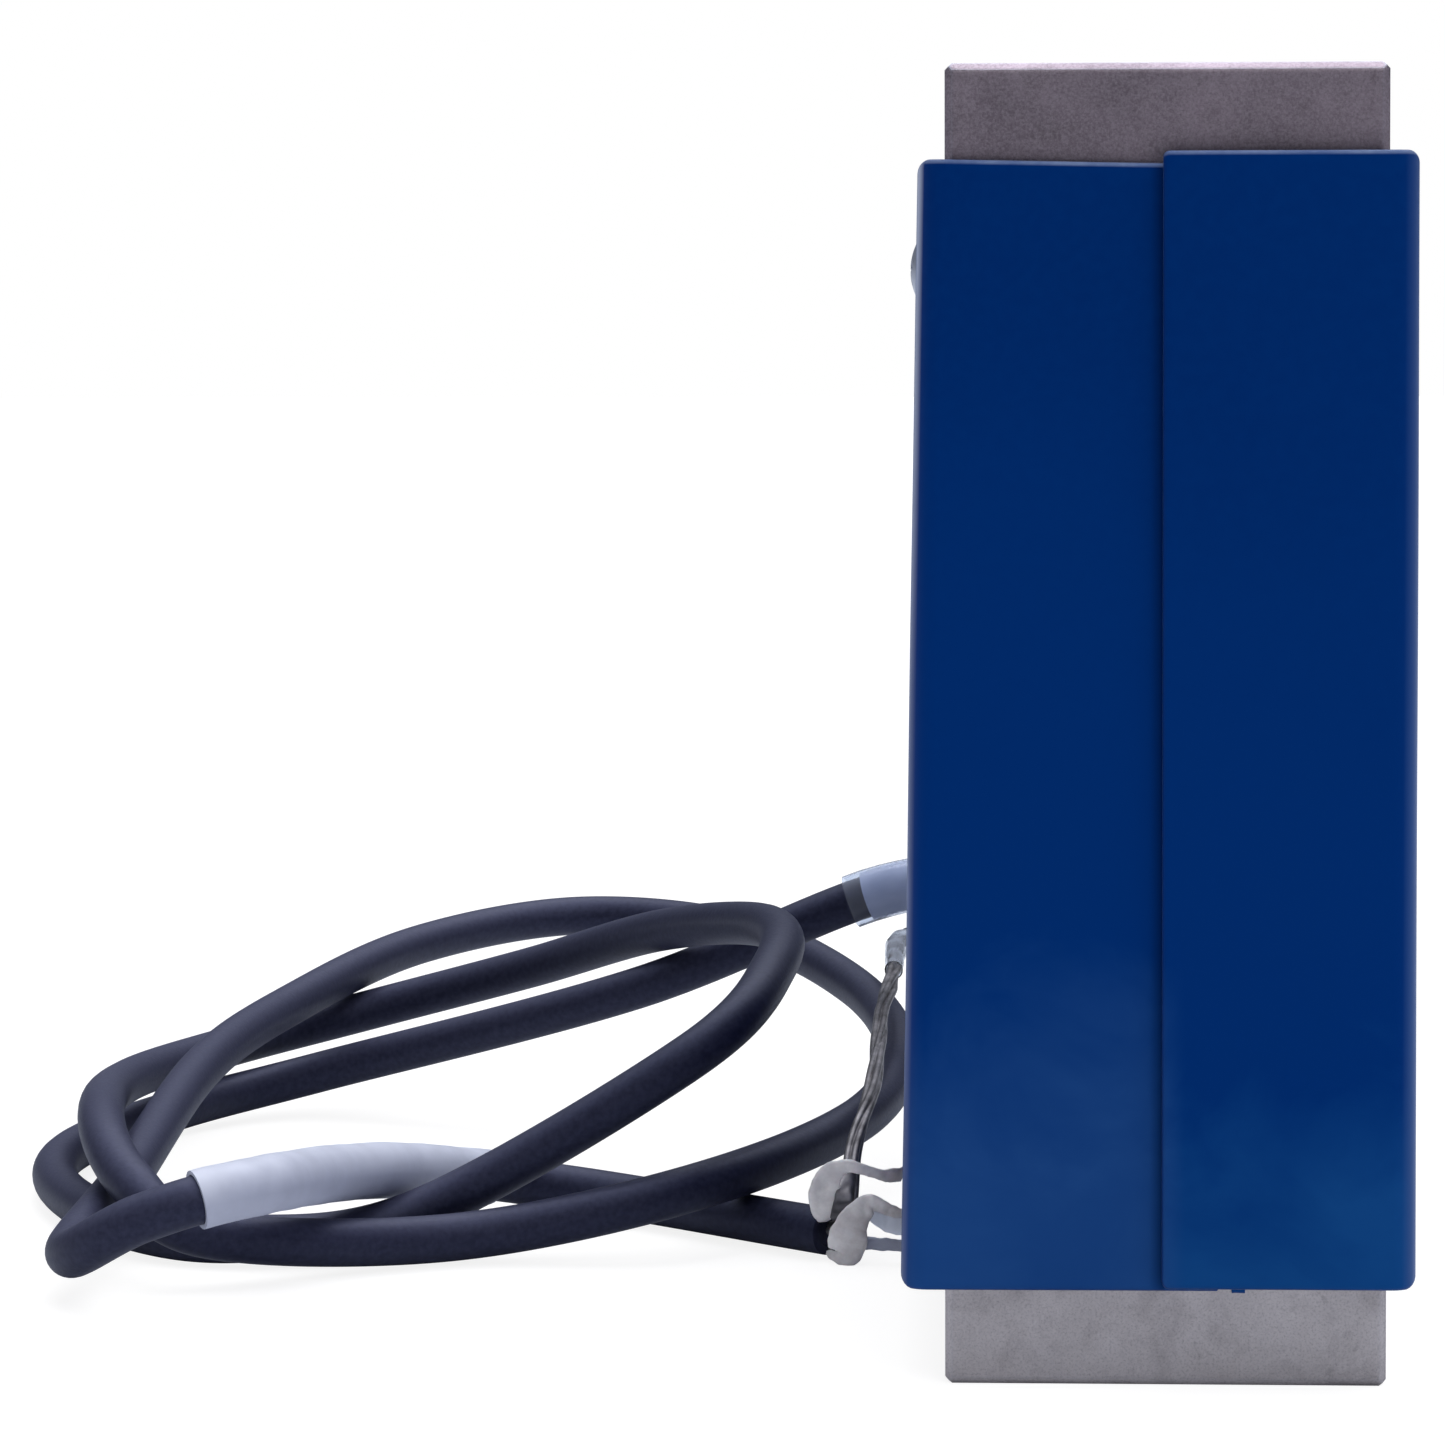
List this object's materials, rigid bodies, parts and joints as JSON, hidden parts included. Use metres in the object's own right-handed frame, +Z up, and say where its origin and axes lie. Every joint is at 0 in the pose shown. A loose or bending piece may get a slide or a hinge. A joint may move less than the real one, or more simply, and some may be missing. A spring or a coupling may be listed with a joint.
{
  "type": "s-type load cell",
  "caption": "S-type load cell: nickel-plated S-beam with M12 mounts, blue wrapped sheet cover and a coiled signal cable",
  "frame": {"origin": "centre of the lower threaded hole's mouth, on the load axis", "axes": "+Z up the load axis, -Y out of the narrow face with the cover's overlap seam, +X to its right"},
  "size_m": [0.0919, 0.1265, 0.0762],
  "materials": {
    "beam_steel": "satin",
    "blue_sheet": "gloss",
    "plated_steel": "satin",
    "black_rubber": "matte",
    "cable_jacket": "satin",
    "white_insulation": "satin",
    "board_laminate": "satin",
    "resistor_body": "satin",
    "gauge_film": "satin",
    "lead_enamel": "satin",
    "silicone": "satin",
    "white_plastic": "satin",
    "clear_plastic": "gloss",
    "tinned_wire": "satin"
  },
  "bodies": {
    "root": {"s_beam": "beam_steel", "wrap_cover": "blue_sheet", "cover_screw_left": "plated_steel", "cover_screw_right": "plated_steel", "upper_gasket": "black_rubber", "lower_gasket": "black_rubber", "gland_washer": "black_rubber", "gland_body": "plated_steel", "gland_seal": "black_rubber", "gland_nut": "plated_steel", "cable_inner_end": "cable_jacket", "inner_cores": "white_insulation", "terminal_board": "board_laminate", "trim_resistors": "resistor_body", "gauge_front_upper": "gauge_film", "gauge_front_lower": "gauge_film", "gauge_rear_upper": "gauge_film", "gauge_rear_lower": "gauge_film", "gauge_leads": "lead_enamel", "potting_left": "silicone", "potting_right": "silicone", "signal_cable": "cable_jacket", "cable_marker": "white_plastic", "clear_sleeve": "clear_plastic", "sleeve_label": "white_plastic", "shield_wires": "tinned_wire", "shield_tube": "clear_plastic", "white_core_upper": "white_insulation", "white_core_lower": "white_insulation", "end_tape": "white_plastic"}
  },
  "joints": []
}
